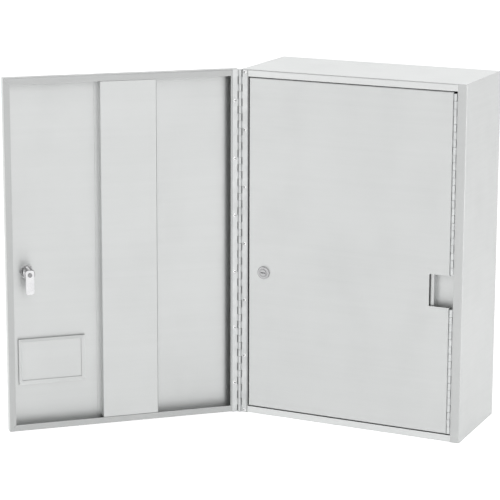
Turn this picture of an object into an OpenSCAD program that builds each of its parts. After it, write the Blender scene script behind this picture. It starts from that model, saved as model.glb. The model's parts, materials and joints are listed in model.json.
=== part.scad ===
// Double-door, double-lock steel wall cabinet.
// Frame: origin at the middle of the base, X across the front, Y from the front to
// the wall, Z up. The outer door stands open and the inner door is shut.

/* [Cabinet] */
// Width over the side panels
body_w = 406; // [330:1:500]
// Height over the top and bottom panels
body_h = 610; // [500:1:740]
// Depth of the box without the doors
body_d = 178; // [145:1:260]
// Sheet thickness of the box
sheet = 1.5; // [1.2:0.1:2]
// Outside radius of every bend
bend_r = 2.4; // [1.8:0.1:2.6]
// Width of the front flange on the outer hinge side
stile_hinge = 13.5; // [13:0.5:24]
// Width of the front flange on the lock side
stile_lock = 16; // [14:0.5:24]
// Depth of the return behind each side flange
stile_return = 14; // [13:0.5:18]
// Height of the top and bottom front flanges
rail_h = 12; // [9:0.5:20]

/* [Outer door] */
// Turn of the outer door from shut to its resting place
outer_rest = 138; // [0:1:180]
// Depth of the outer door pan
pan_d = 20; // [17:0.5:26]
// Sheet thickness of both doors
door_sheet = 1.2; // [1:0.1:1.5]
// Width of the lips on the free, top and bottom edges
lip_w = 11; // [8:0.5:16]
// Width of the lip that carries the hinge leaf
hinge_lip_w = 14.5; // [14:0.5:20]
// Width of the stiffener's raised face
rib_face_w = 98; // [60:1:130]
// Distance from the hinge axis to the raised face
rib_x = 146; // [60:1:160]
// Width of the stiffener's welded feet
rib_foot_w = 6.5; // [6:0.5:12]

/* [Card holder] */
// Width of the card holder
card_w = 115; // [80:1:120]
// Height of the card holder
card_h = 80; // [60:1:130]
// Distance from the hinge axis to the card holder
card_x = 272; // [262:1:275]
// Height of the card holder's lower edge
card_z = 78; // [30:1:90]
// Height of the card holder over the door's inner face
card_depth = 4.5; // [3:0.5:8]
// Width of the card holder's sloping border
card_border = 6; // [4:0.5:8]

/* [Inner door] */
// Depth of the inner door pan
inner_pan_d = 12; // [9:0.5:12]
// Gap round the inner door
door_gap = 1.2; // [1:0.1:2.5]
// Height of the notch in the inner door
notch_h = 55; // [52:1:80]
// Reach of the notch in from the lock-side flange
notch_w = 42.5; // [40:0.5:50]
// Height of the notch's middle
notch_z = 260; // [200:1:330]

/* [Hinges] */
// Length of one knuckle
knuckle_l = 12.7; // [10:0.1:16]
// Outside radius of a knuckle
knuckle_r = 2.8; // [2.6:0.05:3]
// Radius of the hinge pins
hinge_pin_r = 1.25; // [1:0.05:1.5]
// Thickness of a hinge leaf
leaf_t = 1.2; // [1:0.1:1.3]
// Reach of an outer leaf from the hinge axis
leaf_w = 13; // [12:0.5:14]
// Distance from the hinge axis to the rivets
rivet_x = 8.6; // [7.5:0.1:9]
// Number of rivets in the frame's leaf; the door's leaf has one fewer
frame_rivet_count = 7; // [3:1:9]
// Distance from the end rivets to the ends of the frame
rivet_end = 4.2; // [4:0.1:20]
// Radius of a rivet shank
rivet_r = 1.6; // [1.2:0.1:2]
// Radius of a rivet head
rivet_head_r = 3.1; // [2.6:0.1:3.4]

/* [Locks] */
// Radius of the lock body's thread
lock_r = 9.3; // [8:0.1:10]
// Radius of the lock's head
lock_head_r = 11; // [10.5:0.1:13]
// Radius of the turning plug
plug_r = 5.5; // [4.5:0.1:6.5]
// Width of a cam
cam_w = 14; // [12:0.5:15]
// Thickness of a cam
cam_t = 2.4; // [2:0.1:3]
// Reach of the outer cam from its screw
outer_cam_l = 33.5; // [31:0.5:34]
// Reach of the inner cam from its screw
inner_cam_l = 36; // [34:0.5:38]
// Distance from the outer lock to the door's free edge
outer_lock_in = 37; // [36:0.5:41]
// Distance from the outer lock up to the notch's upper edge, door shut
outer_lock_drop = 11.5; // [11:0.5:18]
// Distance from the inner lock to the side panel's outer face
inner_lock_in = 44; // [42:0.5:50]
// Height of the inner lock
inner_lock_z = 257; // [200:1:400]

/* [Shelves] */
// Number of equal spaces between the shelves
shelf_spaces = 4; // [4:1:4]
// Thickness of a shelf
shelf_t = 1.2; // [1:0.1:1.5]
// Height of a shelf's front and back lips
shelf_lip = 16; // [10:1:25]
// Gap between a shelf and the side panels
shelf_gap = 1.5; // [1:0.1:3]
// Radius of a shelf peg
peg_r = 3; // [2.5:0.1:4]

/* [Wall fixing] */
// Distance between the wall holes across the back
hole_dx = 300; // [200:1:300]
// Distance between the wall holes up the back
hole_dz = 508; // [380:1:520]
// Radius of a wall hole
wall_hole_r = 3.6; // [2.5:0.1:5]

/* [Hidden] */

$fn = 48;
cut = 1;                         // how far a cutting shape runs past a face
steel = "gainsboro";
bright = "silver";

// box planes
x_l = -body_w / 2;
x_r = body_w / 2;
y_f = -body_d / 2;
y_b = body_d / 2;
x_open_l = x_l + stile_hinge;    // opening between the side flanges
x_open_r = x_r - stile_lock;

// hinge geometry
leaf_gap = leaf_t;               // from the axis plane to the inner face of an outer leaf
axis_off = leaf_gap + leaf_t;    // from the axis to the face that an outer leaf lies on
outer_axis_x = x_l - 1;
outer_axis_y = y_f - axis_off;
pin_play = 0.05;
bore_r = hinge_pin_r + pin_play;
knuckle_gap = 0.5;
leaf_start = knuckle_r + 1.5;    // plain edge of a leaf, clear of the other's knuckles
leaf_lap = 0.5;                  // how far a knuckle's tab runs into the plain leaf
barrel_gap = 0.3;                // from an inner knuckle to the edges beside it
inner_leaf_off = knuckle_r + barrel_gap - leaf_t;  // from the axis plane to an inner leaf
inner_axis_x = x_open_r - leaf_t - inner_leaf_off;
barrel_proud = 0.6;              // from the front flanges to the inner hinge's axis
inner_axis_y = y_f - barrel_proud;
inner_leaf_w = inner_pan_d;

// outer door in its shut place, measured from its hinge axis
door_x0 = x_l - outer_axis_x;
door_x1 = door_x0 + body_w;
door_foot_gap = 0.5;
door_z0 = door_foot_gap;
door_z1 = body_h - door_foot_gap;
lip_y = -axis_off;               // face of the lips, towards the box
skin_y = lip_y - pan_d;          // outer face of the skin
skin_in_y = skin_y + door_sheet;

// knuckles
outer_count = 2 * floor(body_h / knuckle_l / 2);
outer_z0 = (body_h - outer_count * knuckle_l) / 2;
notch_z0 = notch_z - notch_h / 2;
notch_z1 = notch_z + notch_h / 2;
inner_z0 = rail_h + door_gap;
inner_z1 = body_h - rail_h - door_gap;
run_spare = 2;                   // least length left over beside an inner hinge, both ends together
low_count = floor((notch_z0 - inner_z0 - run_spare) / knuckle_l);
high_count = floor((inner_z1 - notch_z1 - run_spare) / knuckle_l);
low_z0 = (inner_z0 + notch_z0 - low_count * knuckle_l) / 2;
high_z0 = (notch_z1 + inner_z1 - high_count * knuckle_l) / 2;

// rivets
rivet_pitch = (body_h - 2 * rivet_end) / (frame_rivet_count - 1);
rivet_head_t = 1;
rivet_hole_r = rivet_r + 0.1;

// inner door
inner_x0 = x_open_l + door_gap;
inner_x1 = inner_axis_x - inner_leaf_off - leaf_t;

// locks: each is drawn along +Y from the outer face of its door
outer_lock_x = door_x1 - outer_lock_in;
outer_lock_z = notch_z1 - outer_lock_drop;
cam_behind_flange = 3;           // from the box's front flange to the outer cam
outer_cam_y = axis_off + sheet + cam_behind_flange;
inner_lock_x = x_l + inner_lock_in;
inner_cam_y = y_f + stile_return + 3;
lock_head_t = 3;
lock_play = 0.1;
cam_stand = 0.5;                 // from the end of a lock body to its cam

// guard behind the notch
guard_in = 5.5;                  // from the notch's inner edge to the guard's wall
guard_x0 = x_open_r - notch_w + guard_in;
guard_over = 13;                 // how far the guard runs past the notch
guard_z0 = notch_z0 - guard_over;
guard_back = 5;                  // from the front flanges back to the guard
guard_front_y = y_f + guard_back;
guard_d = 14;

// card holder
card_t = 0.8;
card_room = 0.7;                 // from the door to the underside of the border's inner edge

// shelves
shelf_x = body_w / 2 - sheet - shelf_gap;
shelf_front_y = y_f + 30;
shelf_back_y = y_b - sheet - 2;
peg_in = 30;                     // from a shelf's front or back edge to its pegs
peg_l = 12;

function shelf_z(i) = i * body_h / shelf_spaces;
function ramp(n) = [for (i = [0 : n - 1]) i];

// ---- shared shapes ----

// Waste outside the bend at the corner of a flat outline. The corner is at the origin, and
// sx and sy, 1 or -1, say on which side of it the sheet lies.
module bend_waste(sx, sy) {
  mirror([sx < 0 ? 1 : 0, 0])
    mirror([0, sy < 0 ? 1 : 0])
      difference() {
        translate([-cut, -cut])
          square([bend_r + cut, bend_r + cut]);
        translate([bend_r, bend_r])
          circle(bend_r);
      }
}

// One strip of knuckles: every second one, starting with the first or the second
module knuckles(z0, count, first) {
  for (i = [first : 2 : count - 1])
    translate([0, 0, z0 + i * knuckle_l + knuckle_gap / 2])
      cylinder(r = knuckle_r, h = knuckle_l - knuckle_gap);
}

// Knuckles joined to a flat leaf that runs along +X, with its inner face at y = face
module hinge_leaf(z0, count, first, face, reach) {
  difference() {
    union() {
      knuckles(z0, count, first);
      for (i = [first : 2 : count - 1])
        translate([0, face, z0 + i * knuckle_l + knuckle_gap / 2])
          cube([leaf_start + leaf_lap, leaf_t, knuckle_l - knuckle_gap]);
      translate([leaf_start, face, z0 + knuckle_gap / 2])
        cube([reach - leaf_start, leaf_t, count * knuckle_l - knuckle_gap]);
    }
    translate([0, 0, z0 - cut])
      cylinder(r = bore_r, h = count * knuckle_l + 2 * cut);
  }
}

// Puts a thing drawn about the outer hinge axis, door shut, into its resting place
module on_outer_door() {
  translate([outer_axis_x, outer_axis_y, 0])
    rotate([0, 0, -outer_rest])
      children();
}

// Z positions of the rivets: the frame's, and the door's midway between them
function frame_rivet_z() =
  [for (i = ramp(frame_rivet_count)) body_h / 2 + (i - (frame_rivet_count - 1) / 2) * rivet_pitch];
function door_rivet_z() =
  [for (i = ramp(frame_rivet_count - 1)) body_h / 2 + (i + 1 - frame_rivet_count / 2) * rivet_pitch];

// Holes for a row of rivets along Y
module rivet_holes(zs, y0, y1) {
  for (z = zs)
    translate([rivet_x, y0, z])
      rotate([-90, 0, 0])
        cylinder(r = rivet_hole_r, h = y1 - y0);
}

// One blind rivet along +Y: domed head with its mandrel hole before the joint, tail behind
module rivet(grip) {
  mandrel_r = 1.1;
  tail_t = 1.4;
  tail_r = rivet_r + 0.7;
  mandrel_depth = 1.3;
  dome_r = (rivet_head_r * rivet_head_r + rivet_head_t * rivet_head_t) / (2 * rivet_head_t);
  rotate([-90, 0, 0])
    difference() {
      union() {
        cylinder(r = rivet_r, h = grip);
        translate([0, 0, grip])
          cylinder(r = tail_r, h = tail_t);
        intersection() {
          translate([0, 0, -rivet_head_t])
            cylinder(r = rivet_head_r, h = rivet_head_t);
          translate([0, 0, dome_r - rivet_head_t])
            sphere(r = dome_r);
        }
      }
      translate([0, 0, -rivet_head_t - cut])
        cylinder(r = mandrel_r, h = cut + mandrel_depth);
    }
}

// Threaded lock body along +Y: head before the door's outer face, body behind it
module lock_body(body_l) {
  chamfer = 0.8;
  rotate([-90, 0, 0])
    difference() {
      union() {
        translate([0, 0, -lock_head_t])
          cylinder(r1 = lock_head_r - chamfer, r2 = lock_head_r, h = chamfer);
        translate([0, 0, chamfer - lock_head_t])
          cylinder(r = lock_head_r, h = lock_head_t - chamfer);
        cylinder(r = lock_r, h = body_l);
      }
      translate([0, 0, -lock_head_t - cut])
        cylinder(r = plug_r + pin_play, h = body_l + lock_head_t + 2 * cut);
    }
}

// Turning plug along +Y, with its key slot in front and its screw hole behind
module lock_plug(body_l) {
  key_l = 9;
  key_w = 1.8;
  key_depth = 6;
  proud = 0.4;
  rotate([-90, 0, 0])
    difference() {
      translate([0, 0, -lock_head_t - proud])
        cylinder(r = plug_r, h = body_l + lock_head_t + proud);
      translate([-key_l / 2, -key_w / 2, -lock_head_t - proud - cut])
        cube([key_l, key_w, key_depth + cut]);
      translate([0, 0, body_l - screw_l])
        cylinder(r = screw_r + pin_play, h = screw_l + cut);
    }
}

// Hexagonal nut along +Y
module lock_nut() {
  nut_t = 3.5;
  nut_flats = 2 * lock_r + 3.4;
  rotate([-90, 30, 0])
    difference() {
      cylinder(r = nut_flats / 2 / cos(30), h = nut_t, $fn = 6);
      translate([0, 0, -cut])
        cylinder(r = lock_r + lock_play, h = nut_t + 2 * cut);
    }
}

screw_r = 2;
screw_l = 8;
screw_head_r = 4;
screw_head_t = 2;

// Flat cam that hangs down from its screw, with rounded ends
module lock_cam(reach) {
  heel = 8;                      // how far the cam stands above its screw
  corner = 4;
  rotate([-90, 0, 0])
    linear_extrude(cam_t)
      difference() {
        union() {
          translate([-cam_w / 2, corner - heel])
            square([cam_w, reach + heel - 2 * corner]);
          translate([corner - cam_w / 2, -heel])
            square([cam_w - 2 * corner, reach + heel]);
          for (x = [-1, 1])
            for (y = [corner - heel, reach - corner])
              translate([x * (cam_w / 2 - corner), y])
                circle(corner);
        }
        circle(screw_r + lock_play);
      }
}

// Cross-slotted cap screw along +Y, its head outermost
module cam_screw() {
  slot_w = 1;
  slot_l = 5.6;
  slot_depth = 0.9;
  taper = 0.6;
  thread_in = 0.5;               // from the shank's end to the bottom of its hole
  rotate([-90, 0, 0])
    difference() {
      union() {
        translate([0, 0, thread_in - screw_l])
          cylinder(r = screw_r, h = screw_l + cam_t - thread_in);
        translate([0, 0, cam_t])
          cylinder(r1 = screw_head_r, r2 = screw_head_r - taper, h = screw_head_t);
      }
      for (a = [0, 90])
        rotate([0, 0, a])
          translate([-slot_l / 2, -slot_w / 2, cam_t + screw_head_t - slot_depth])
            cube([slot_l, slot_w, slot_depth + cut]);
    }
}

// ---- the box ----

// Side panel with its front flange, drawn for the left side
module side_profile(flange_w) {
  difference() {
    union() {
      square([sheet, body_d]);
      square([flange_w, sheet]);
    }
    bend_waste(1, 1);
  }
}

module side_return(flange_w) {
  translate([flange_w - sheet, 0, rail_h])
    cube([sheet, stile_return, body_h - 2 * rail_h]);
}

module left_side() color(steel) {
  difference() {
    union() {
      translate([x_l, y_f, 0])
        linear_extrude(body_h)
          side_profile(stile_hinge);
      translate([x_l, y_f, 0])
        side_return(stile_hinge);
    }
    translate([outer_axis_x, 0, 0])
      rivet_holes(frame_rivet_z(), y_f - cut, y_f + sheet + cut);
  }
}

module right_side() color(steel) {
  difference() {
    translate([x_r, y_f, 0])
      mirror([1, 0, 0]) {
        linear_extrude(body_h)
          side_profile(stile_lock);
        side_return(stile_lock);
      }
    translate([x_open_r - cut, y_f + sheet, notch_z0])
      cube([sheet + 2 * cut, stile_return + cut, notch_h]);
  }
}

// Top or bottom panel, drawn as the bottom: a plate between the sides and a front flange
module end_panel() {
  translate([x_l + sheet, y_f + sheet, 0])
    cube([body_w - 2 * sheet, body_d - sheet, sheet]);
  translate([x_open_l, y_f, 0])
    rotate([90, 0, 90])
      linear_extrude(x_open_r - x_open_l)
        difference() {
          union() {
            square([sheet, rail_h]);
            square([sheet + bend_r, sheet]);
          }
          bend_waste(1, 1);
        }
}

module bottom_panel() color(steel) {
  end_panel();
}

module top_panel() color(steel) {
  translate([0, 0, body_h])
    mirror([0, 0, 1])
      end_panel();
}

module back_panel() color(steel) {
  difference() {
    translate([x_l + sheet, y_b - sheet, sheet])
      cube([body_w - 2 * sheet, sheet, body_h - 2 * sheet]);
    for (x = [-1, 1])
      for (z = [-1, 1])
        translate([x * hole_dx / 2, y_b - sheet - cut, body_h / 2 + z * hole_dz / 2])
          rotate([-90, 0, 0])
            cylinder(r = wall_hole_r, h = sheet + 2 * cut);
  }
}

// Folded channel behind the notch: it takes the outer cam and shuts off the compartment
module lock_guard() color(steel) {
  w = x_r - sheet - guard_x0;
  translate([guard_x0, guard_front_y, guard_z0])
    linear_extrude(notch_h + 2 * guard_over)
      union() {
        translate([sheet - guard_over, 0])
          square([guard_over, sheet]);
        square([sheet, guard_d]);
        translate([0, guard_d - sheet])
          square([w, sheet]);
      }
}

module shelf(i) {
  translate([-shelf_x, shelf_front_y, shelf_z(i)])
    cube([2 * shelf_x, shelf_back_y - shelf_front_y, shelf_t]);
  for (y = [shelf_front_y, shelf_back_y - shelf_t])
    translate([-shelf_x, y, shelf_z(i) - shelf_lip + shelf_t])
      cube([2 * shelf_x, shelf_t, shelf_lip]);
}

module shelf_lower() color(steel) shelf(1);
module shelf_middle() color(steel) shelf(2);
module shelf_upper() color(steel) shelf(3);

// Places of the pegs under the shelves, along +X from the side panel
module peg_places() {
  for (i = [1 : shelf_spaces - 1])
    for (y = [shelf_front_y + peg_in, shelf_back_y - peg_in])
      translate([0, y, shelf_z(i) - peg_r])
        rotate([0, 90, 0])
          children();
}

// Pegs welded to the inside of the side panels, which carry the shelves
module shelf_pegs() color(bright) {
  for (s = [0, 1])
    mirror([s, 0, 0])
      translate([x_l + sheet, 0, 0])
        peg_places()
          cylinder(r = peg_r, h = peg_l);
}

// ---- inner door ----

module inner_door() color(steel) {
  w = inner_x1 - inner_x0;
  h = inner_z1 - inner_z0;
  difference() {
    translate([inner_x0, y_f, inner_z0])
      intersection() {
        linear_extrude(h)
          difference() {
            square([w, inner_pan_d]);
            bend_waste(1, 1);
            translate([w, 0])
              bend_waste(-1, 1);
          }
        rotate([90, 0, 90])
          linear_extrude(w)
            difference() {
              square([inner_pan_d, h]);
              bend_waste(1, 1);
              translate([0, h])
                bend_waste(1, -1);
            }
      }
    translate([inner_x0 + door_sheet, y_f + door_sheet, inner_z0 + door_sheet])
      cube([w - 2 * door_sheet, inner_pan_d, h - 2 * door_sheet]);
    translate([x_open_r - notch_w, y_f - cut, notch_z0])
      cube([notch_w, inner_pan_d + 2 * cut, notch_h]);
    translate([inner_lock_x, y_f - cut, inner_lock_z])
      rotate([-90, 0, 0])
        cylinder(r = lock_r + lock_play, h = door_sheet + 2 * cut);
  }
}

// Inner leaves stand back from the axis, one on each side of the gap beside the door
module inner_leaf(first, side) {
  translate([inner_axis_x, inner_axis_y, 0])
    rotate([0, 0, 90])
      for (run = [[low_z0, low_count], [high_z0, high_count]])
        hinge_leaf(run[0], run[1], first, side > 0 ? -inner_leaf_off - leaf_t : inner_leaf_off,
                   inner_leaf_w);
}

module inner_hinge_frame_leaf() color(bright) inner_leaf(0, 1);
module inner_hinge_door_leaf() color(bright) inner_leaf(1, -1);

module inner_hinge_pins() color(bright) {
  for (run = [[low_z0, low_count], [high_z0, high_count]])
    translate([inner_axis_x, inner_axis_y, run[0]])
      cylinder(r = hinge_pin_r, h = run[1] * knuckle_l);
}

inner_body_l = inner_cam_y - y_f;

module at_inner_lock() {
  translate([inner_lock_x, y_f, inner_lock_z])
    children();
}

module inner_lock_body() color(bright) at_inner_lock() lock_body(inner_body_l - cam_stand);
module inner_lock_plug() color(bright) at_inner_lock() lock_plug(inner_body_l);
module inner_lock_nut() color(bright) at_inner_lock() translate([0, door_sheet, 0]) lock_nut();
module inner_lock_cam() color(bright) {
  at_inner_lock()
    translate([0, inner_body_l, 0])
      lock_cam(inner_cam_l);
}
module inner_lock_screw() color(bright) {
  at_inner_lock()
    translate([0, inner_body_l, 0])
      cam_screw();
}

// ---- outer door, drawn about its hinge axis ----

// Thin cut along the mitre of two lips at a corner of the door
module lip_seams() {
  seam_w = 0.3;
  for (z = [[door_z0, 1], [door_z1, -1]])
    translate([door_x1, lip_y - door_sheet - cut / 2, z[0]])
      rotate([0, z[1] * 45, 0])
        translate([-2 * lip_w, 0, -seam_w / 2])
          cube([2 * lip_w - bend_r, door_sheet + cut, seam_w]);
}

module outer_door() color(steel) {
  w = door_x1 - door_x0;
  h = door_z1 - door_z0;
  on_outer_door()
    difference() {
      translate([door_x0, skin_y, door_z0])
        intersection() {
          linear_extrude(h)
            difference() {
              square([w, pan_d]);
              for (x = [[0, 1], [w, -1]])
                for (y = [[0, 1], [pan_d, -1]])
                  translate([x[0], y[0]])
                    bend_waste(x[1], y[1]);
            }
          rotate([90, 0, 90])
            linear_extrude(w)
              difference() {
                square([pan_d, h]);
                for (y = [[0, 1], [pan_d, -1]])
                  for (z = [[0, 1], [h, -1]])
                    translate([y[0], z[0]])
                      bend_waste(y[1], z[1]);
              }
        }
      translate([door_x0 + door_sheet, skin_in_y, door_z0 + door_sheet])
        cube([w - 2 * door_sheet, pan_d - 2 * door_sheet, h - 2 * door_sheet]);
      translate([door_x0 + hinge_lip_w, skin_in_y, door_z0 + lip_w])
        cube([w - hinge_lip_w - lip_w, pan_d + cut, h - 2 * lip_w]);
      rivet_holes(door_rivet_z(), lip_y - door_sheet - cut, lip_y + cut);
      translate([outer_lock_x, skin_y - cut, outer_lock_z])
        rotate([-90, 0, 0])
          cylinder(r = lock_r + lock_play, h = door_sheet + 2 * cut);
      lip_seams();
    }
}

// Hat-section stiffener: two welded feet, two walls and a raised face
module door_rib() color(steel) {
  seat = 0.6;                    // how far the face lies behind the lips
  end_gap = 0.5;
  rib_h = pan_d - door_sheet - seat;
  on_outer_door()
    translate([rib_x, skin_in_y, door_z0 + lip_w + end_gap])
      linear_extrude(door_z1 - door_z0 - 2 * lip_w - 2 * end_gap)
        difference() {
          union() {
            translate([-rib_foot_w, 0])
              square([rib_face_w + 2 * rib_foot_w, door_sheet]);
            square([rib_face_w, rib_h]);
          }
          translate([door_sheet, -cut])
            square([rib_face_w - 2 * door_sheet, rib_h - door_sheet + cut]);
          translate([0, rib_h])
            bend_waste(1, -1);
          translate([rib_face_w, rib_h])
            bend_waste(-1, -1);
        }
}

// Height of the card holder's border over the door, at a distance in from its edge
function border_face(u) =
  card_depth - (card_depth - card_room - card_t) * min(u, card_border) / card_border;

// Outline, over one span of the card holder, of all that lies above its border
module above_border(span) {
  top = card_depth + 3 * cut;
  polygon([[-cut, border_face(-cut)], [card_border, border_face(card_border)],
           [card_border, -cut], [span - card_border, -cut],
           [span - card_border, border_face(card_border)], [span + cut, border_face(-cut)],
           [span + cut, top], [-cut, top]]);
}

// Outline, over one span, of the room under the border, from the first wall to end
module under_border(span, end) {
  polygon([[card_t, -cut], [card_t, border_face(card_t) - card_t], [card_border, card_room],
           [span - card_border, card_room], [end, border_face(span - end) - card_t],
           [end, -cut]]);
}

// Runs an outline drawn over Z and depth along X
module run_across(x0, x1) {
  translate([x0, 0, 0])
    rotate([90, 0, 90])
      linear_extrude(x1 - x0)
        mirror([1, -1])
          children();
}

// Frame for a card: walls on three sides, a border that slopes down inwards to hold the
// card's edges, and a slot along the top
module card_holder() color(steel) {
  on_outer_door()
    translate([card_x, skin_in_y, card_z])
      difference() {
        cube([card_w, card_depth, card_h]);
        intersection() {
          translate([0, 0, -cut])
            linear_extrude(card_h + 2 * cut)
              above_border(card_w);
          run_across(-cut, card_w + cut)
            above_border(card_h);
        }
        translate([0, 0, card_t])
          linear_extrude(card_h)
            under_border(card_w, card_w - card_t);
        run_across(card_t, card_w - card_t)
          under_border(card_h, card_h + cut);
      }
}

module outer_hinge_frame_leaf() color(bright) {
  translate([outer_axis_x, outer_axis_y, 0])
    difference() {
      hinge_leaf(outer_z0, outer_count, 0, leaf_gap, leaf_w);
      rivet_holes(frame_rivet_z(), 0, axis_off + cut);
    }
}

module outer_hinge_door_leaf() color(bright) {
  on_outer_door()
    difference() {
      hinge_leaf(outer_z0, outer_count, 1, -axis_off, leaf_w);
      rivet_holes(door_rivet_z(), -axis_off - cut, 0);
    }
}

module outer_hinge_pin() color(bright) {
  translate([outer_axis_x, outer_axis_y, outer_z0])
    cylinder(r = hinge_pin_r, h = outer_count * knuckle_l);
}

module frame_rivets() color(bright) {
  for (z = frame_rivet_z())
    translate([outer_axis_x + rivet_x, outer_axis_y + leaf_gap, z])
      rivet(leaf_t + sheet);
}

module door_rivets() color(bright) {
  on_outer_door()
    for (z = door_rivet_z())
      translate([rivet_x, -leaf_gap, z])
        mirror([0, 1, 0])
          rivet(leaf_t + door_sheet);
}

outer_body_l = outer_cam_y - skin_y;

module at_outer_lock() {
  on_outer_door()
    translate([outer_lock_x, skin_y, outer_lock_z])
      children();
}

module outer_lock_body() color(bright) at_outer_lock() lock_body(outer_body_l - cam_stand);
module outer_lock_plug() color(bright) at_outer_lock() lock_plug(outer_body_l);
module outer_lock_nut() color(bright) at_outer_lock() translate([0, door_sheet, 0]) lock_nut();
module outer_lock_cam() color(bright) {
  at_outer_lock()
    translate([0, outer_body_l, 0])
      lock_cam(outer_cam_l);
}
module outer_lock_screw() color(bright) {
  at_outer_lock()
    translate([0, outer_body_l, 0])
      cam_screw();
}

left_side();
right_side();
top_panel();
bottom_panel();
back_panel();
lock_guard();
shelf_upper();
shelf_middle();
shelf_lower();
shelf_pegs();
inner_door();
inner_hinge_frame_leaf();
inner_hinge_door_leaf();
inner_hinge_pins();
inner_lock_body();
inner_lock_nut();
inner_lock_plug();
inner_lock_cam();
inner_lock_screw();
outer_door();
door_rib();
card_holder();
outer_hinge_frame_leaf();
outer_hinge_door_leaf();
outer_hinge_pin();
frame_rivets();
door_rivets();
outer_lock_body();
outer_lock_nut();
outer_lock_plug();
outer_lock_cam();
outer_lock_screw();
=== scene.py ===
import json
import math

import bmesh
import bpy
from mathutils import Matrix, Vector


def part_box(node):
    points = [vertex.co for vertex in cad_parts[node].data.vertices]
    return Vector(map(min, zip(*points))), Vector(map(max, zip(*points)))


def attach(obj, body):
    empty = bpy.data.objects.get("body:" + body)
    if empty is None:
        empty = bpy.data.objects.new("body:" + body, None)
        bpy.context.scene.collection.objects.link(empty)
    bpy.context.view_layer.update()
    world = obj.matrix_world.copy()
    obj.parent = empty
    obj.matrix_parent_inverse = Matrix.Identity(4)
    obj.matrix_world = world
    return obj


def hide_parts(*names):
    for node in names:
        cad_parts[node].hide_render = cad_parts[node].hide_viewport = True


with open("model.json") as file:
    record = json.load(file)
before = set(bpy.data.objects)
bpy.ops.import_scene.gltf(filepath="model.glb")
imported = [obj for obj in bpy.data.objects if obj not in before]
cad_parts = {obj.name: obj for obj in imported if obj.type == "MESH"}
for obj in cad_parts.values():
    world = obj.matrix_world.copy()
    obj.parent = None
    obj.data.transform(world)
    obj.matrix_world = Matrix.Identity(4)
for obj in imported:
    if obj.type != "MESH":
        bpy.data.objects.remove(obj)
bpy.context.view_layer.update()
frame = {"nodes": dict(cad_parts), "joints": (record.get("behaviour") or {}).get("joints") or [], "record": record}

# %% [markdown]
# # A steel wall cabinet with two locking doors
#
# The sheet metal, hinges, rivets and locks are already here as exact shapes. This
# lesson gives them their finishes, adds the small turned and pressed details that a
# metalworker's drawing leaves out, and lights them like a catalogue picture. Every
# finish is a node material on Object coordinates, so the grain stays fixed to the
# metal when a door swings.

# %% Names and units
MM = 0.001               # metres in a millimetre
nodes = frame["nodes"]
joints = {joint["name"]: joint for joint in frame["joints"]}
scene = bpy.context.scene
print("nodes:", len(nodes), "joints:", len(joints))

# %% [markdown]
# ## The camera
#
# The view is from the right and a little above, through a long lens, so the uprights
# stay nearly parallel. A camera's turn is easiest to read as three separate turns:
# yaw about the vertical, pitch down from level, and a small roll. The lens shift
# slides the picture without tilting the camera, as a view camera does.

# %% Camera
SENSOR_MM = 36
LENS_MM = 141.6
CAMERA_PLACE = Vector((1.2206, -3.0967, 1.0891))
YAW, PITCH, ROLL = 24.47, 10.84, 0.28      # degrees
SHIFT_X, SHIFT_Y = -0.04, -0.18            # shares of the picture's width

camera_data = bpy.data.cameras.new("camera")
camera_data.sensor_width = SENSOR_MM
camera_data.lens = LENS_MM
camera_data.shift_x = SHIFT_X
camera_data.shift_y = SHIFT_Y
camera = bpy.data.objects.new("camera", camera_data)
scene.collection.objects.link(camera)
turn = (Matrix.Rotation(math.radians(YAW), 4, "Z")
        @ Matrix.Rotation(math.radians(90 - PITCH), 4, "X")
        @ Matrix.Rotation(math.radians(ROLL), 4, "Z"))
camera.matrix_world = Matrix.Translation(CAMERA_PLACE) @ turn
scene.camera = camera
print("camera is", round(CAMERA_PLACE.length, 2), "m from the cabinet's foot")

# %% [markdown]
# ## Floor and light
#
# Steel is nearly a mirror, so what stands around it matters more than the lamps do.
# The upright faces show the floor, and the top shows the sky low down at the back,
# so both are pale. The sky overhead is darker: only the rounded parts, such as the
# rivets, the bends and the lock, see it, and it gives them their dark edges. The
# floor also glows a little, as a lit table does, so that it stays pale right up to
# the cabinet's foot. Tall strip lamps outside the view draw the bright line along an
# upright bend, and lighten the sheet that faces them a little towards one edge. A
# small hard lamp would burn a spot into the steel instead.

# %% Colour handling
scene.view_settings.view_transform = "Standard"
scene.view_settings.look = "None"

# %% Floor
FLOOR_GLOW = 0.48
FLOOR_PAINT = (0.93, 0.93, 0.93)
FLOOR_R = 40             # metres, so that its edge is lost in the distance


def make_floor():
    mesh = bpy.data.meshes.new("floor")
    bm = bmesh.new()
    bmesh.ops.create_circle(bm, cap_ends=True, segments=96, radius=FLOOR_R)
    bm.to_mesh(mesh)
    bm.free()
    floor = bpy.data.objects.new("floor", mesh)
    scene.collection.objects.link(floor)
    paint = bpy.data.materials.new("floor_paint")
    paint.use_nodes = True
    shader = paint.node_tree.nodes["Principled BSDF"]
    shader.inputs["Base Color"].default_value = (*FLOOR_PAINT, 1)
    shader.inputs["Roughness"].default_value = 0.9
    shader.inputs["Emission Color"].default_value = (1, 1, 1, 1)
    shader.inputs["Emission Strength"].default_value = FLOOR_GLOW
    mesh.materials.append(paint)


make_floor()
print("floor glows at", FLOOR_GLOW)

# %% Sky
SKY_LOW, SKY_HIGH = 1.18, 0.35      # brightness level with the horizon and overhead
LEVEL, OVERHEAD = 0.5, 0.9          # where each is reached, from 0 underfoot to 1 above


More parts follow.
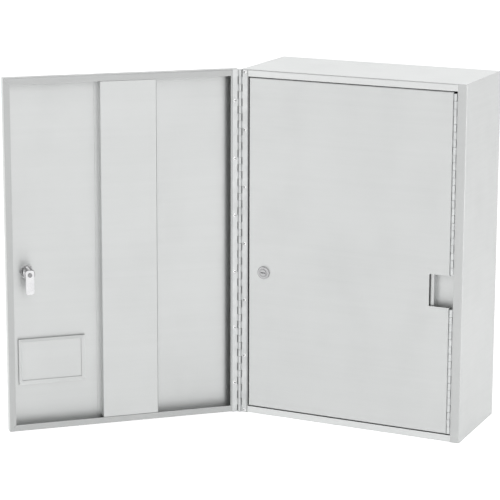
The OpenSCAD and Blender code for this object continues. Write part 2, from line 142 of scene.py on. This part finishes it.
def make_sky():
    world = bpy.data.worlds.new("studio")
    world.use_nodes = True
    scene.world = world
    tree = world.node_tree
    place = tree.nodes.new("ShaderNodeTexCoord")
    split = tree.nodes.new("ShaderNodeSeparateXYZ")
    ramp = tree.nodes.new("ShaderNodeValToRGB")
    stops = zip(ramp.color_ramp.elements, (SKY_LOW, SKY_HIGH), (LEVEL, OVERHEAD))
    for stop, bright, height in stops:
        stop.color = (bright, bright, bright, 1)
        stop.position = height
    tree.links.new(place.outputs["Generated"], split.inputs[0])
    tree.links.new(split.outputs["Z"], ramp.inputs["Fac"])
    tree.links.new(ramp.outputs["Color"], tree.nodes["Background"].inputs["Color"])


make_sky()
print("sky goes from", SKY_LOW, "to", SKY_HIGH)

# %% Lamps
def soft_panel(name, place, aim, width, height, watts):
    """A soft oblong lamp at place, facing aim, with its height upright."""
    data = bpy.data.lights.new(name, "AREA")
    data.shape = "RECTANGLE"
    data.size = width
    data.size_y = height
    data.energy = watts
    lamp = bpy.data.objects.new(name, data)
    scene.collection.objects.link(lamp)
    facing = (Vector(aim) - Vector(place)).to_track_quat("-Z", "Y").to_matrix().to_4x4()
    lamp.matrix_world = Matrix.Translation(place) @ facing
    print(name, "gives", watts, "W")


MIDDLE = (0, 0, 0.3)
low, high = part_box("right_side")
RIGHT_BEND = (high[0], low[1], MIDDLE[2])
soft_panel("overhead_panel", (0.3, -0.5, 3.2), MIDDLE, 1.6, 1.6, 12)
soft_panel("right_strip", (2.3, -0.9, 1.0), MIDDLE, 0.35, 2.0, 2)
soft_panel("left_strip", (-1.9, -2.6, 0.9), MIDDLE, 0.3, 1.4, 2.5)
soft_panel("bend_strip", (1.35, 0.35, 0.4), RIGHT_BEND, 0.6, 0.9, 2.5)
soft_panel("key_panel", (1.5, -2.2, 2.4), MIDDLE, 0.8, 0.8, 4)

# %% [markdown]
# ## Satin stainless steel
#
# The sheets are brushed with an abrasive belt, which leaves fine straight scratches
# in one direction, here level along each sheet. A painted picture of scratches would
# blur close up. Noise that is stretched along the belt's direction gives scratches at
# any distance, and it drives both the roughness and a very small bump. Scratches also
# smear a reflection across their own direction, so the shader is anisotropic, with
# its tangent upright: the dark corner at the foot of the door's pan fades out over a
# couple of centimetres, while the upright corners stay crisp. Two slower noises add
# what a real sheet picks up: cloudy changes in tone from rolling, and dull smears
# where hands and cloths have been. Every edge has a painted highlight, a little brighter
# than the sheet, and the Bevel node rounds each one for the light only, as a deburred sheet's are.

# %% Material helpers
def new_material(name, colour, metal, rough):
    material = bpy.data.materials.new(name)
    material.use_nodes = True
    shader = material.node_tree.nodes["Principled BSDF"]
    shader.inputs["Base Color"].default_value = (*colour, 1)
    shader.inputs["Metallic"].default_value = metal
    shader.inputs["Roughness"].default_value = rough
    return material, material.node_tree, shader


def noise(tree, scale, stretch, detail=4.0, rough=0.5):
    """Noise on Object coordinates, with its own stretch along X, Y and Z."""
    place = tree.nodes.new("ShaderNodeTexCoord")
    mapping = tree.nodes.new("ShaderNodeMapping")
    mapping.inputs["Scale"].default_value = stretch
    texture = tree.nodes.new("ShaderNodeTexNoise")
    texture.inputs["Scale"].default_value = scale
    texture.inputs["Detail"].default_value = detail
    texture.inputs["Roughness"].default_value = rough
    tree.links.new(place.outputs["Object"], mapping.inputs["Vector"])
    tree.links.new(mapping.outputs["Vector"], texture.inputs["Vector"])
    return texture.outputs["Fac"]


def spread(tree, value, low_in, high_in, low_out, high_out):
    """Maps value from one range to another."""
    node = tree.nodes.new("ShaderNodeMapRange")
    node.inputs["From Min"].default_value = low_in
    node.inputs["From Max"].default_value = high_in
    node.inputs["To Min"].default_value = low_out
    node.inputs["To Max"].default_value = high_out
    tree.links.new(value, node.inputs["Value"])
    return node.outputs["Result"]


def add(tree, first, second):
    node = tree.nodes.new("ShaderNodeMath")
    node.operation = "ADD"
    tree.links.new(first, node.inputs[0])
    tree.links.new(second, node.inputs[1])
    return node.outputs["Value"]


def tint(tree, value, dark, light):
    """A colour between dark and light, as value goes from 0 to 1."""
    node = tree.nodes.new("ShaderNodeMix")
    node.data_type = "RGBA"
    node.inputs["A"].default_value = (*dark, 1)
    node.inputs["B"].default_value = (*light, 1)
    tree.links.new(value, node.inputs["Factor"])
    return node.outputs["Result"]


def blend_colour(tree, value, first, second):
    """The colour first, giving way to the plain colour second as value goes to 1."""
    node = tree.nodes.new("ShaderNodeMix")
    node.data_type = "RGBA"
    tree.links.new(value, node.inputs["Factor"])
    tree.links.new(first, node.inputs["A"])
    node.inputs["B"].default_value = (*second, 1)
    return node.outputs["Result"]


def soft_edges(tree, radius):
    node = tree.nodes.new("ShaderNodeBevel")
    node.samples = 6
    node.inputs["Radius"].default_value = radius
    return node.outputs["Normal"]


def bump(tree, height, strength, distance, normal):
    node = tree.nodes.new("ShaderNodeBump")
    node.inputs["Strength"].default_value = strength
    node.inputs["Distance"].default_value = distance
    tree.links.new(height, node.inputs["Height"])
    tree.links.new(normal, node.inputs["Normal"])
    return node.outputs["Normal"]

# %% Where a finish changes
def depth_from(tree, foot, angle):
    """Distance from foot along Y, once Y is turned by angle about the upright."""
    place = tree.nodes.new("ShaderNodeTexCoord")
    shift = tree.nodes.new("ShaderNodeMapping")
    shift.vector_type = "TEXTURE"
    shift.inputs["Location"].default_value = foot
    shift.inputs["Rotation"].default_value = (0, 0, angle)
    tree.links.new(place.outputs["Object"], shift.inputs["Vector"])
    split = tree.nodes.new("ShaderNodeSeparateXYZ")
    tree.links.new(shift.outputs["Vector"], split.inputs[0])
    return split.outputs["Y"]


FLAT, ROUNDED_EDGE = 0.995, 0.9            # cosines between the sheet and its rounded edge


def painted_edge_highlight(tree, radius):
    """1 on edges, where a brighter highlight is painted, 0 on flat sheet."""
    geometry = tree.nodes.new("ShaderNodeNewGeometry")
    dot = tree.nodes.new("ShaderNodeVectorMath")
    dot.operation = "DOT_PRODUCT"
    tree.links.new(soft_edges(tree, radius), dot.inputs[0])
    tree.links.new(geometry.outputs["Normal"], dot.inputs[1])
    return spread(tree, dot.outputs["Value"], FLAT, ROUNDED_EDGE, 0.0, 1.0)


# %% Satin steel
def smear_along(tree, shader, direction, amount):
    """Smears reflections along a direction that stays fixed to the piece."""
    shader.inputs["Anisotropic"].default_value = amount
    turn = tree.nodes.new("ShaderNodeVectorTransform")
    turn.vector_type = "VECTOR"
    turn.convert_from, turn.convert_to = "OBJECT", "WORLD"
    turn.inputs["Vector"].default_value = direction
    tree.links.new(turn.outputs["Vector"], shader.inputs["Tangent"])


SATIN_ROUGH = 0.4
ALONG = 0.012                       # how slowly the noise changes along the belt
SMEAR = 0.75                        # how much reflections spread across the grain
BLEND = 0.1 * MM                    # half of the width over which a finish changes
EDGE_HIGHLIGHT_GAIN = 1.16                    # tone of the painted edge highlight against the sheet's
LYING_WAY, UPRIGHT_WAY = (0, 1, 1), (0, 0, 1)       # directions across the grain


def scaled(colour, gain):
    return tuple(part * gain for part in colour)


def satin_steel(name, light, dark, lying=False, band=None):
    """Brushed sheet with level grain, upright or lying flat.

    band is (foot, angle, depth, share): sheet that lies past depth along the turned Y,
    from foot, is painted darker by share. On a box panel's front flange this is painted shade; on the door's lips
    it is a darker band.
    """
    material, tree, shader = new_material(name, light, 1.0, SATIN_ROUGH)
    stretch = (ALONG, 1, 1) if lying else (ALONG, ALONG, 1)
    grain = noise(tree, 1500, stretch, detail=3, rough=0.6)
    streak = noise(tree, 120, stretch, detail=4)
    cloud = noise(tree, 5, (0.6, 0.6, 1), detail=5, rough=0.55)
    smear = noise(tree, 14, (1, 1, 0.5), detail=6, rough=0.65)
    tone = add(tree, spread(tree, cloud, 0.3, 0.7, 0.15, 0.7),
               spread(tree, streak, 0.3, 0.7, 0.0, 0.3))
    colour = tint(tree, tone, dark, light)
    # The band is painted darker: painted shade on the front flanges, a darker band along the door's lips.
    if band:
        foot, angle, depth, share = band
        past = depth_from(tree, foot, angle)
        inside = spread(tree, past, depth - BLEND, depth + BLEND, 0.0, 1.0)
        colour = blend_colour(tree, inside, colour, scaled(light, 1 - share))
    # Every edge gets a painted highlight: its colour is made brighter than the sheet's.
    colour = blend_colour(tree, painted_edge_highlight(tree, 0.6 * MM), colour, scaled(light, EDGE_HIGHLIGHT_GAIN))
    tree.links.new(colour, shader.inputs["Base Color"])
    rub = add(tree, spread(tree, grain, 0.3, 0.7, SATIN_ROUGH - 0.05, SATIN_ROUGH + 0.05),
              spread(tree, smear, 0.45, 0.75, 0.0, 0.06))
    tree.links.new(rub, shader.inputs["Roughness"])
    smear_along(tree, shader, LYING_WAY if lying else UPRIGHT_WAY, SMEAR)
    tree.links.new(bump(tree, grain, 0.12, 0.02 * MM, soft_edges(tree, 0.5 * MM)),
                   shader.inputs["Normal"])
    return material


# %% The four satin steels
PALE, SHADE = (0.59, 0.599, 0.596), (0.555, 0.565, 0.562)
# The first gain is painted light: the lying panels are made lighter than the upright sheets, for the light on
# their tops. The second is painted shade: the side panels are made darker.
LYING_PAINTED_LIGHT_GAIN, SIDE_PAINTED_SHADE_GAIN = 1.45, 0.91                  # tones against the doors' sheets
# The first two shares are painted shade on the box panels' front flanges; the last makes the door's lips darker.
RAIL_PAINTED_SHADE, STILE_PAINTED_SHADE, LIP_SHARE = 0.25, 0.05, 0.23
BOX_SHEET, DOOR_SHEET = 1.5 * MM, 1.2 * MM

door_hinge = joints["outer_door_swing"]
door_turn = math.radians(door_hinge["range_deg"][0])
flange_face = -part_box("left_side")[0][1]
lip_face = door_hinge["pos_m"][1] + flange_face


def front_flange(share):
    """The band of a box panel's folded front, which gets painted shade."""
    return (0, 0, 0), math.pi, flange_face - BOX_SHEET, share


upright_steel = satin_steel("satin_steel_upright", PALE, SHADE)
# Lying panels: level grain, in a lighter copy of the upright steel, which is painted light.
lying_steel_painted_light = satin_steel("satin_steel_lying_painted_light", scaled(PALE, LYING_PAINTED_LIGHT_GAIN),
                          scaled(SHADE, LYING_PAINTED_LIGHT_GAIN), lying=True, band=front_flange(RAIL_PAINTED_SHADE))
# Side panels: a darker copy of the upright steel, which is painted shade.
box_steel_painted_shade = satin_steel("satin_steel_box_painted_shade", scaled(PALE, SIDE_PAINTED_SHADE_GAIN), scaled(SHADE, SIDE_PAINTED_SHADE_GAIN),
                        band=front_flange(STILE_PAINTED_SHADE))
outer_steel = satin_steel("satin_steel_outer_door", PALE, SHADE,
                          band=(door_hinge["pos_m"], door_turn, lip_face - DOOR_SHEET, LIP_SHARE))
print("satin steels:", [m.name for m in (upright_steel, lying_steel_painted_light, box_steel_painted_shade, outer_steel)])

# %% [markdown]
# ## Hinge, rivet and lock metals
#
# The hinges are rolled strip with no belt grain, so they are smoother and a little
# greyer. Rivets are formed bright. The locks are plated: almost mirrors, with tiny
# ripples that break the reflections up, and with fine rubbed scratches. Their screws
# are plainer, darker steel, and so are the broken stems in the rivets.

# %% Small metals
SMALL_EDGE = 0.25 * MM


def small_metal(name, light, dark, rough, grain_scale, bump_strength):
    """Metal without a belt grain: fine scratches, slow changes of tone, soft edges."""
    material, tree, shader = new_material(name, light, 1.0, rough)
    fine = noise(tree, grain_scale, (1, 1, 1), detail=5, rough=0.6)
    slow = noise(tree, 60, (1, 1, 1), detail=4)
    tree.links.new(tint(tree, spread(tree, slow, 0.3, 0.7, 0, 1), dark, light),
                   shader.inputs["Base Color"])
    tree.links.new(spread(tree, fine, 0.3, 0.7, rough * 0.75, rough * 1.3),
                   shader.inputs["Roughness"])
    edges = soft_edges(tree, SMALL_EDGE)
    tree.links.new(bump(tree, fine, bump_strength, 0.03 * MM, edges), shader.inputs["Normal"])
    return material


# %% The small metals
hinge_steel = small_metal("hinge_steel", (0.6, 0.61, 0.61), (0.52, 0.53, 0.53), 0.36, 900, 0.15)
pin_steel = small_metal("pin_steel", (0.5, 0.5, 0.505), (0.4, 0.4, 0.405), 0.35, 1200, 0.2)
rivet_metal = small_metal("rivet_metal", (0.84, 0.84, 0.845), (0.74, 0.74, 0.745),
                          0.2, 1500, 0.12)
lock_chrome = small_metal("lock_chrome", (0.45, 0.45, 0.455), (0.38, 0.38, 0.385),
                          0.16, 1100, 0.06)
cam_chrome = small_metal("cam_chrome", (0.7, 0.7, 0.705), (0.6, 0.6, 0.61), 0.24, 800, 0.1)
screw_steel = small_metal("screw_steel", (0.34, 0.34, 0.345), (0.26, 0.26, 0.265),
                          0.3, 900, 0.15)
nut_plate = small_metal("nut_plate", (0.6, 0.6, 0.6), (0.46, 0.46, 0.465), 0.26, 700, 0.2)
stem_steel = small_metal("stem_steel", (0.2, 0.2, 0.2), (0.1, 0.1, 0.1), 0.5, 2500, 0.5)
print("small metals:", [m.name for m in (hinge_steel, pin_steel, rivet_metal, lock_chrome,
                                         cam_chrome, screw_steel, nut_plate, stem_steel)])

# %% Finish for each part
SPECIAL = {"left_side": box_steel_painted_shade, "right_side": box_steel_painted_shade, "outer_door": outer_steel,
           "outer_lock_screw": screw_steel, "inner_lock_screw": screw_steel}
LYING = {"top_panel", "bottom_panel", "shelf_upper", "shelf_middle", "shelf_lower"}
FINISH = {"satin_steel": upright_steel, "hinge_steel": hinge_steel, "pin_steel": pin_steel,
          "rivet_metal": rivet_metal, "lock_chrome": lock_chrome, "cam_chrome": cam_chrome}
for part in frame["record"]["subparts"]:
    name = part["node"]
    material = lying_steel_painted_light if name in LYING else SPECIAL.get(name, FINISH[part["material_slot"]])
    mesh = nodes[name].data
    mesh.materials.clear()
    mesh.materials.append(material)

# %% [markdown]
# ## Turned lock bodies
#
# The body of a cam lock is a die casting: a head with a rounded shoulder and a shallow
# ring round the plug, and a barrel with a thread for its nut. A cylinder with a
# picture of a thread on it would look flat from the side. Here half of the section is
# drawn once and spun about the lock's own axis. The thread is the outline of one
# tooth, spun the same way but moved forward at each step, which makes a helix.

# %% A lock's own frame
def lock_place(joint_name, cam):
    """Z runs from the lock's head towards its cam, and Y is up."""
    joint = joints[joint_name]
    foot, along = Vector(joint["pos_m"]), Vector(joint["axis"])
    low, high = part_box(cam)
    if (Vector(low) + Vector(high) - 2 * foot).dot(along) < 0:
        along = -along
    up = Vector((0, 0, 1))
    turn = Matrix((up.cross(along), up, along)).transposed()
    return Matrix.Translation(foot) @ turn.to_4x4()


def measure(node, place):
    """A node's lowest and highest corners in millimetres, in a frame of its own."""
    back = Matrix.Scale(1 / MM, 4) @ place.inverted()
    spots = [back @ vertex.co for vertex in nodes[node].data.vertices]
    return [Vector([pick(spot[i] for spot in spots) for i in range(3)]) for pick in (min, max)]


outer_lock = lock_place("outer_lock_turn", "outer_lock_cam")
inner_lock = lock_place("inner_lock_turn", "inner_lock_cam")
for label, place in (("outer", outer_lock), ("inner", inner_lock)):
    low, high = measure(label + "_lock_body", place)
    print(label, "lock body runs from", round(low.z, 2), "to", round(high.z, 2), "mm")

# %% Turning, and settling a piece
def spun(bm, outline, steps=72):
    """Spins a closed outline of (radius, height) pairs about Z."""
    corners = [bm.verts.new((radius, 0, height)) for radius, height in outline]
    rim = [bm.edges.new(pair) for pair in zip(corners, corners[1:] + corners[:1])]
    bmesh.ops.spin(bm, geom=corners + rim, cent=(0, 0, 0), axis=(0, 0, 1),
                   angle=math.tau, steps=steps, use_merge=True)


def settle(name, bm, place, material, body, crease=35):
    """Makes a bmesh drawn in millimetres about place a piece that rides a body."""
    bmesh.ops.recalc_face_normals(bm, faces=bm.faces)
    for face in bm.faces:
        face.smooth = True
    bmesh.ops.transform(bm, matrix=place @ Matrix.Scale(MM, 4), verts=bm.verts)
    mesh = bpy.data.meshes.new(name)
    bm.to_mesh(mesh)
    bm.free()
    mesh.set_sharp_from_angle(angle=math.radians(crease))
    mesh.materials.append(material)
    piece = bpy.data.objects.new(name, mesh)
    scene.collection.objects.link(piece)
    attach(piece, body)
    print(name, "has", len(mesh.polygons), "faces")
    return piece


# %% Lock bodies with their threads
PLAY = 0.05                         # from a turning piece to its bore
SHOULDER = 1.6                      # radius of the head's rounded edge
BARREL_IN = 1.7                     # from the head's rim in to the thread's crest
RING = [(0.9, 0), (1.2, 0.4), (1.7, 0.4), (2.0, 0)]    # out from the plug's bore, and deep
CHAMFER_END, CHAMFER_BORE, CHAMFER_RIM = 0.5, 0.3, 0.2
THREAD_DEPTH = 0.45
THREAD_PITCH = 1.5
THREAD_START = 1.2                  # bare barrel behind the head
THREAD_ROOT = 0.1                   # how far a tooth runs into the barrel
PER_TURN = 36


def wind_thread(bm, root, crest, end):
    """Spins one tooth round Z, a step forward at a time, from THREAD_START to end."""
    half = THREAD_PITCH * 0.42
    outline = [(root - THREAD_ROOT, 0), (crest, 0.8), (crest, 1.2), (root - THREAD_ROOT, 2)]
    tooth = [bm.verts.new((radius, 0, THREAD_START + half * step)) for radius, step in outline]
    section = bm.faces.new(tooth)
    turns = (end - THREAD_START - 2 * half) / THREAD_PITCH
    bmesh.ops.spin(bm, geom=[section] + list(section.edges) + tooth, cent=(0, 0, 0),
                   axis=(0, 0, 1), dvec=(0, 0, THREAD_PITCH / PER_TURN),
                   angle=math.tau * turns, steps=round(PER_TURN * turns))


def lock_body(label, place, body):
    low, high = measure(label + "_lock_body", place)
    head_r, front, back = high.x, low.z, high.z
    bore = measure(label + "_lock_plug", place)[1].x + PLAY
    barrel = head_r - BARREL_IN
    root = barrel - THREAD_DEPTH
    turns = [math.radians(15 * step) for step in range(7)]
    shoulder = [(head_r - SHOULDER * (1 - math.sin(turn)), front + SHOULDER * (1 - math.cos(turn)))
                for turn in turns]
    bm = bmesh.new()
    spun(bm, [(bore, front + CHAMFER_BORE), (bore + CHAMFER_BORE, front)]
         + [(bore + out, front + deep) for out, deep in RING]
         + shoulder
         + [(head_r, -CHAMFER_RIM), (head_r - CHAMFER_RIM, 0), (root, 0),
            (root, back - CHAMFER_END), (root - CHAMFER_END, back), (bore, back)])
    wind_thread(bm, root, barrel, back - CHAMFER_END)
    piece = settle(label + "_lock_turned_body", bm, place, lock_chrome, body)
    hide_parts(label + "_lock_body")


lock_body("outer", outer_lock, "outer_door_body")
lock_body("inner", inner_lock, "inner_door_body")

# %% [markdown]
# ## Chamfered lock nuts
#
# A pressed nut has its six corners turned off at thirty degrees, so each flat ends in
# a curved line. Bevelling a hexagon's edges would not give that curve. Six rings of
# points are bridged instead: two round bores, two round faces and, between them, two
# hexagonal rings whose height follows the cone that the tool cuts.

# %% Nuts
CHAMFER = math.radians(30)
FACE_IN = 0.25                      # from a flat in to the round face
AROUND = 72


def ring_of(bm, height, radius_at):
    """A ring about Z whose radius and height may change with the angle from Y."""
    made = bmesh.ops.create_circle(bm, cap_ends=False, segments=AROUND, radius=1)["verts"]
    for vertex in made:
        angle = math.atan2(vertex.co.x, vertex.co.y)
        radius = radius_at(angle)
        vertex.co = (radius * math.sin(angle), radius * math.cos(angle), height(radius))
    return list({edge for vertex in made for edge in vertex.link_edges})


def lock_nut(label, place, body):
    low, high = measure(label + "_lock_nut", place)
    corner = high.y
    flat = corner * math.cos(math.pi / 6)
    bore = measure(label + "_lock_body", place)[1].x - BARREL_IN + PLAY
    face = flat - FACE_IN

    def hexagon(angle):
        return flat / math.cos((angle + math.pi / 6) % (math.pi / 3) - math.pi / 6)

    def drop(radius):
        return max(0.0, radius - face) * math.tan(CHAMFER)

    bm = bmesh.new()
    rings = [ring_of(bm, lambda r: low.z, lambda a: bore),
             ring_of(bm, lambda r: low.z, lambda a: face),
             ring_of(bm, lambda r: low.z + drop(r), hexagon),
             ring_of(bm, lambda r: high.z - drop(r), hexagon),
             ring_of(bm, lambda r: high.z, lambda a: face),
             ring_of(bm, lambda r: high.z, lambda a: bore)]
    for first, second in zip(rings, rings[1:] + rings[:1]):
        bmesh.ops.bridge_loops(bm, edges=first + second)
    piece = settle(label + "_lock_chamfered_nut", bm, place, nut_plate, body, 20)
    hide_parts(label + "_lock_nut")


lock_nut("outer", outer_lock, "outer_door_body")
lock_nut("inner", inner_lock, "inner_door_body")

# %% [markdown]
# ## Broken stems in the rivets
#
# A blind rivet is pulled tight by a steel stem, which snaps off inside the hole. What
# is left is a rough grey stub a little below the dome. A dark dot painted on the dome
# would stay dark in any light. A real stub in the real hole shades itself.

# %% Rivet stems
STEM_R, STEM_L = 0.95, 1.0
STEM_TAPER = 0.12
STEM_TOP = 0.45                     # from the top of the dome down to the stub
STEM_RIM, STEM_DISH = 0.3, 0.12
NEAR_PITCH = 100                    # close enough to count the rivets in a row


def rivet_rows(node, place):
    """The rivets' places along Z, and their axis' place across, in millimetres."""
    low, high = measure(node, place)
    head_r = (high.x - low.x) / 2
    count = round((high.z - low.z) / NEAR_PITCH) + 1
    step = (high.z - low.z - 2 * head_r) / (count - 1)
    return (low.x + high.x) / 2, low, high, [low.z + head_r + i * step for i in range(count)]


def rivet_stems(name, node, place, toward, body):
    """Stubs in a row of rivets whose domes face -Y or +Y of place."""
    across, low, high, heights = rivet_rows(node, place)
    dome = low.y if toward < 0 else high.y
    middle = dome - toward * (STEM_TOP + STEM_L / 2)
    upright = Matrix.Rotation(-toward * math.pi / 2, 4, "X")
    bm = bmesh.new()
    for height in heights:
        stub = bmesh.ops.create_cone(
            bm, cap_ends=True, segments=20, radius1=STEM_R, radius2=STEM_R - STEM_TAPER,
            depth=STEM_L, matrix=Matrix.Translation((across, middle, height)) @ upright)
        caps = {face for vertex in stub["verts"] for face in vertex.link_faces
                if len(face.verts) > 4}
        crown = max(caps, key=lambda face: toward * face.calc_center_median().y)
        bmesh.ops.inset_individual(bm, faces=[crown], thickness=STEM_RIM, depth=-STEM_DISH)
    settle(name, bm, place, stem_steel, body)
    print(name, "fills", len(heights), "rivets")


shut_door = Matrix.Translation(door_hinge["pos_m"]) @ Matrix.Rotation(door_turn, 4, "Z")
rivet_stems("frame_rivet_stems", "frame_rivets", Matrix.Identity(4), -1, "cabinet")
rivet_stems("door_rivet_stems", "door_rivets", shut_door, 1, "outer_door_body")
